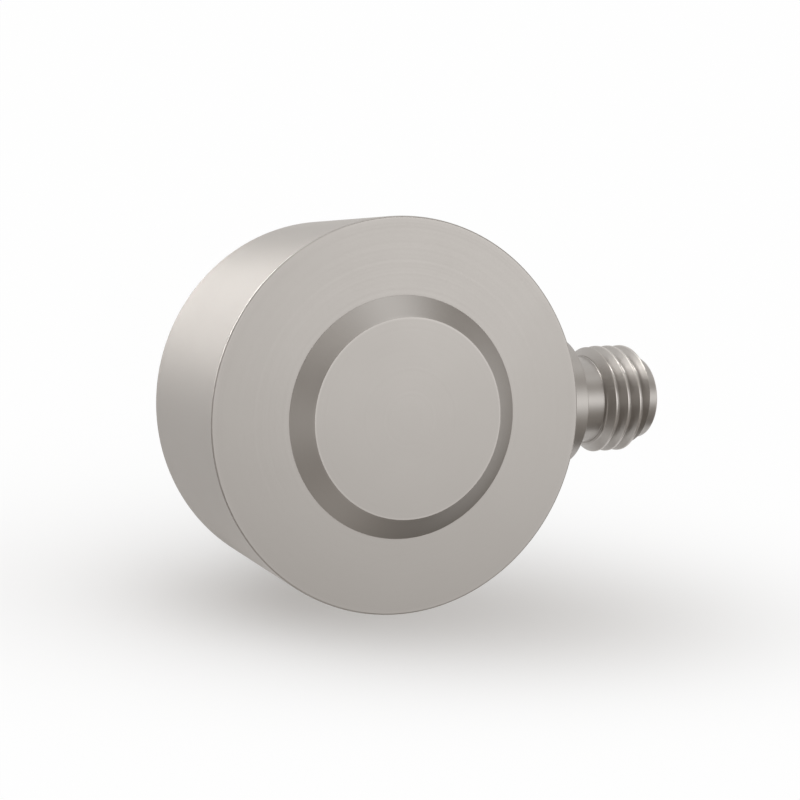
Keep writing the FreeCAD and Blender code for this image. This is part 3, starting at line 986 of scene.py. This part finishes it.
cone_radius = NECK_RADIUS + CONE_RISE
cone_place = THREAD_START - CONE_LEAD
outer_radius = cone_radius + CONE_REACH * math.sqrt(3)
cone_points = [
    (cone_radius, cone_place),
    (outer_radius, cone_place),
    (outer_radius, cone_place + CONE_REACH),
]
cut_away(shell, lathe("lead_in_cutter", cone_points, closed=True))
laid_along_x(shell)
finished(shell, connector_steel, "connector_shell")

# %% [markdown]
# The collar is welded to the case all round. The bead follows the saddle line where the round collar
# meets the round wall: a circle is projected onto the wall with Shrinkwrap, made a curve, and given a
# small round section.

# %% Weld bead at the foot of the connector
SEAM_OUTSIDE_COLLAR = 0.012
OUTSIDE_CASE = 9
WALL_GUIDE_LENGTH = 8

bpy.ops.mesh.primitive_circle_add(
    vertices=192,
    radius=(collar_radius + SEAM_OUTSIDE_COLLAR) * MM,
    location=(OUTSIDE_CASE * MM, 0, axis_height * MM),
    rotation=(0, math.pi / 2, 0),
)
foot_seam = bpy.context.object
bpy.ops.object.transform_apply(location=True, rotation=True)
bpy.ops.mesh.primitive_cylinder_add(
    vertices=512,
    radius=case_radius * MM,
    depth=WALL_GUIDE_LENGTH * MM,
    location=(0, 0, axis_height * MM),
)
wall_guide = bpy.context.object
worked_on(foot_seam)
wrap = foot_seam.modifiers.new("wrap", "SHRINKWRAP")
wrap.target = wall_guide
wrap.wrap_method = "PROJECT"
wrap.use_project_x = True
wrap.use_negative_direction = True
wrap.use_positive_direction = False
bpy.ops.object.modifier_apply(modifier="wrap")
bpy.data.objects.remove(wall_guide)
corners = [vertex.co.copy() for vertex in foot_seam.data.vertices]
seam_length = sum((one - two).length for one, two in zip(corners, corners[1:] + corners[:1]))
bpy.ops.object.convert(target="CURVE")
foot_bead = weld_bead(
    "foot_weld_bead",
    foot_seam,
    length=seam_length / MM,
    pulse=0.10,
    half_width=0.06,
    half_height=0.06,
)
finished(foot_bead, weld_steel, sharp=60)

# %% [markdown]
# Inside the mouth, a white plastic sleeve keeps the signal away from the shell. It ends a little
# behind the nose, and its edges are broken so that the plug slides in.

# %% Insulator in the connector
PIN_HOLE = 0.30
CONTACT_SEAT = 0.505
SLEEVE_GAP = 0.005

sleeve_radius = BORE_RADIUS - SLEEVE_GAP
insulator_points = [
    (PIN_HOLE, insulator_start),
    (sleeve_radius, insulator_start),
    (sleeve_radius, insulator_end),
    (CONTACT_SEAT, insulator_end),
    (CONTACT_SEAT, contact_foot),
    (PIN_HOLE, contact_foot),
]
insulator_rounds = {2: 0.04, 3: 0.03}
insulator_rings = rounded_profile(insulator_points, insulator_rounds)
insulator = lathe("insulator_sleeve_turned", insulator_rings, steps=128, closed=True)
laid_along_x(insulator)
finished(insulator, white_plastic, "connector_insulator")

# %% [markdown]
# The contact in the middle is a gold-plated socket. Two crossed saw cuts split its front into four tines,
# which spring apart a little for the plug's pin. The body is turned, and each cut is a thin block taken
# away with a Boolean.

# %% Contact socket
CONTACT_RADIUS = 0.5
SOCKET_RADIUS = 0.275
SOCKET_DEPTH = 1.2
TINE_LENGTH = 1.0
TINE_SLOT = 0.1
SAW_OVERRUN = 0.4
SAW_WIDTH = 1.4
PIN_BORE = 0.255
PIN_END = 8.40

contact_points = [
    (0, PIN_END),
    (PIN_BORE, PIN_END),
    (PIN_BORE, contact_foot),
    (CONTACT_RADIUS, contact_foot),
    (CONTACT_RADIUS, contact_tip),
    (SOCKET_RADIUS + MOUTH_CHAMFER, contact_tip),
    (SOCKET_RADIUS, contact_tip - MOUTH_CHAMFER),
    (SOCKET_RADIUS, contact_tip - SOCKET_DEPTH),
    (0, contact_tip - SOCKET_DEPTH),
]
contact = lathe("contact_socket_turned", rounded_profile(contact_points, {4: 0.03}, hold=0.005), steps=96)
saw_height = TINE_LENGTH + SAW_OVERRUN
saw_middle = contact_tip + SAW_OVERRUN - saw_height / 2
for width, depth in ((TINE_SLOT, SAW_WIDTH), (SAW_WIDTH, TINE_SLOT)):
    bpy.ops.mesh.primitive_cube_add(size=1, location=(0, 0, saw_middle * MM))
    saw = bpy.context.object
    saw.scale = (width * MM, depth * MM, saw_height * MM)
    cut_away(contact, saw)
laid_along_x(contact)
finished(contact, gold_plate, "contact_socket", sharp=35)

# %% [markdown]
# The pieces that stay inside are the machined solids themselves. Nobody sees them in this picture, but
# whoever takes the model apart should find lapped steel, clear quartz and gold, so each gets its own
# finish.

# %% Finishes of the inner pieces
inner_finishes = {
    "preload_shim": lapped_steel,
    "lower_pressure_plate": lapped_steel,
    "upper_pressure_plate": lapped_steel,
    "quartz_disc_lower": quartz,
    "quartz_disc_upper": quartz,
    "centre_electrode": gold_plate,
    "insulating_sleeve": white_plastic,
    "signal_lead": gold_plate,
    "seal_ferrule": ferrule_alloy,
    "glass_seal": sealing_glass,
    "feedthrough_pin": gold_plate,
}
for node, material in inner_finishes.items():
    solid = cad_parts[node]
    solid.data.materials.clear()
    solid.data.materials.append(material)
print("inner pieces finished:", len(inner_finishes))

# %% [markdown]
# The sensor lies on a plain white sheet. It is large, so that its far edge lies at the horizon in a low
# view. The paper has a faint cloud of fibres and hardly any shine.

# %% Paper of the floor
FLOOR_RADIUS = 2500

paper = Finish("studio_paper", Roughness=0.9, Specular_IOR_Level=0.1)
place, x, y, z = paper.position()
fibres = paper.noise({"Vector": place, "Scale": 0.8, "Detail": 3.0})
paper.feed("Base Color", paper.mix(fibres, (0.93, 0.93, 0.93, 1), (0.95, 0.95, 0.95, 1)))
bpy.ops.mesh.primitive_circle_add(vertices=96, radius=FLOOR_RADIUS * MM, fill_type="NGON")
floor = bpy.context.object
floor.name = "studio_floor"
floor.data.materials.append(paper.material)
print("floor radius mm", FLOOR_RADIUS)

# %% [markdown]
# Lit by a dim sky, white paper comes out grey. So a ray from the camera sees mostly a plain white there,
# and a ray that the sensor has mirrored or let through sees a large part of it. Two soft places behind
# the sensor are painted shade: there a ray sees more of the lit paper itself, which is darker all over,
# so the shadow there is partly painted and partly cast by the sensor. A row is a place's middle, how far
# it reaches each way, and how strong it is. Both lean a little.

# %% White and shade of the floor
WHITE_SHARE = 0.98
MIRRORED_SHARE = 0.7
PAINTED_SHADE_LEAN = 0.15
PAINTED_SHADES = {
    "wide painted shade, below the right": ((5.5, -8.6), (14.5, 2.8), 0.82),
    "small painted shade, close below the rim": ((-0.5, -7.7), (5.5, 1.3), 0.90),
}

from_camera = paper.add("ShaderNodeLightPath", output="Is Camera Ray")
mirrored = paper.add("ShaderNodeLightPath", output="Is Glossy Ray")
let_through = paper.add("ShaderNodeLightPath", output="Is Transmission Ray")
seen = from_camera + (mirrored + let_through) * MIRRORED_SHARE
share = seen.math("MINIMUM", seen, 1) * WHITE_SHARE
# Each place is painted shade: the white share falls in an oval there, and the darker lit paper shows
# through.
for (middle_x, middle_y), (width, depth), strength in PAINTED_SHADES.values():
    beside = x - middle_x
    across = beside / width
    along = (y - middle_y + beside * PAINTED_SHADE_LEAN) / depth
    painted_shade = across.math("EXPONENT", (across * across + along * along) * -1) * strength
    share = share * (1 - painted_shade)
glow = paper.add("ShaderNodeEmission")
lit = Signal(paper.tree, paper.shader.outputs[0])
mixed = paper.add("ShaderNodeMixShader", {0: share, 1: lit, 2: glow})
paper.tree.links.new(mixed.socket, paper.tree.nodes["Material Output"].inputs["Surface"])
print("shades on the floor:", len(PAINTED_SHADES))

# %% [markdown]
# Steel shows what stands around it more than its own colour, so the light is planned from its
# reflections. The sky of this studio is a dim even grey with nine soft boxes painted on it: two bright
# keys that stand low, and seven weaker ones. Each is a direction, a brightness, and a power that says
# how fast it fades away from its middle: a large number is a small box. A lamp can't be made as wide
# and soft as this, and a picture of a studio would be one more file.

# %% Soft boxes
EVEN_GREY = 0.12
KEYS = {
    "key, low behind the left": ((-0.59, 0.81, 0.05), 34.0, 20),
    "second key, beside it": ((-0.88, 0.47, 0.05), 25.0, 20),
}
SOFT_BOXES = {
    "top light, over the right": ((0.41, 0.04, 0.91), 1.89, 20),
    "back light, behind the top": ((0.25, 0.88, 0.41), 1.33, 12),
    "small box, over the left": ((-0.62, -0.11, 0.78), 0.68, 20),
    "small box, over the upper left": ((-0.30, 0.61, 0.74), 0.38, 14),
    "fill, from below": ((-0.3, -0.81, 0.5), 0.46, 8),
    "second fill, below the right": ((0.37, -0.64, 0.67), 0.20, 10),
    "side light, low at the right": ((0.95, 0.08, 0.31), 0.58, 6),
}
print("soft boxes:", len(KEYS) + len(SOFT_BOXES))

# %% [markdown]
# The sky is worked out from the direction that a ray looks in. The dot product with a box's own
# direction is one in its middle and falls with the angle, and the power makes it fall faster.

# %% Light of a table of boxes
world = bpy.data.worlds.new("studio_sky")
bpy.context.scene.world = world
world.use_nodes = True
sky = Graph(world.node_tree)
direction = sky.add("ShaderNodeTexCoord", output="Generated")


def facing(towards):
    """One where the sky lies straight in a direction, falling to nothing a right angle away from it."""
    sockets = {0: direction, 1: Vector(towards).normalized()}
    cosine = sky.add("ShaderNodeVectorMath", sockets, output="Value", operation="DOT_PRODUCT")
    return cosine.math("MAXIMUM", cosine, 0)


def added_up(boxes):
    """The light of all boxes in a table."""
    total = 0
    for towards, brightness, power in boxes.values():
        total = facing(towards) ** power * brightness + total
    return total


print("made the sky", world.name)

# %% [markdown]
# The keys are bright enough to light the side wall, and would turn the front face white where it mirrors
# the sky above them. So they are made flat: they fade fast with height. Last comes a white band at the
# horizon, which meets the white sheet in a low view. The light leans to a warm tone where it is dim.

# %% Studio sky
KEY_FLATNESS = 6
HORIZON_HEIGHT = 0.035
DIM_TINT = (1.0, 0.90, 0.80, 1)
FULL_WHITE = (1.0, 1.0, 1.0, 1)

height = facing((0, 0, 1))
flattened = (1 - height) ** KEY_FLATNESS
level = added_up(KEYS) * flattened + added_up(SOFT_BOXES) + EVEN_GREY
horizon = height.math("SUBTRACT", 2, height / HORIZON_HEIGHT, clamp=True)
level = level + horizon * (1 - level)

tint = sky.mix(level, DIM_TINT, FULL_WHITE)
background = sky.tree.nodes["Background"]
sky.tree.links.new(tint.socket, background.inputs["Color"])
sky.tree.links.new(level.socket, background.inputs["Strength"])
print("the horizon's white ends at a height of", 2 * HORIZON_HEIGHT)
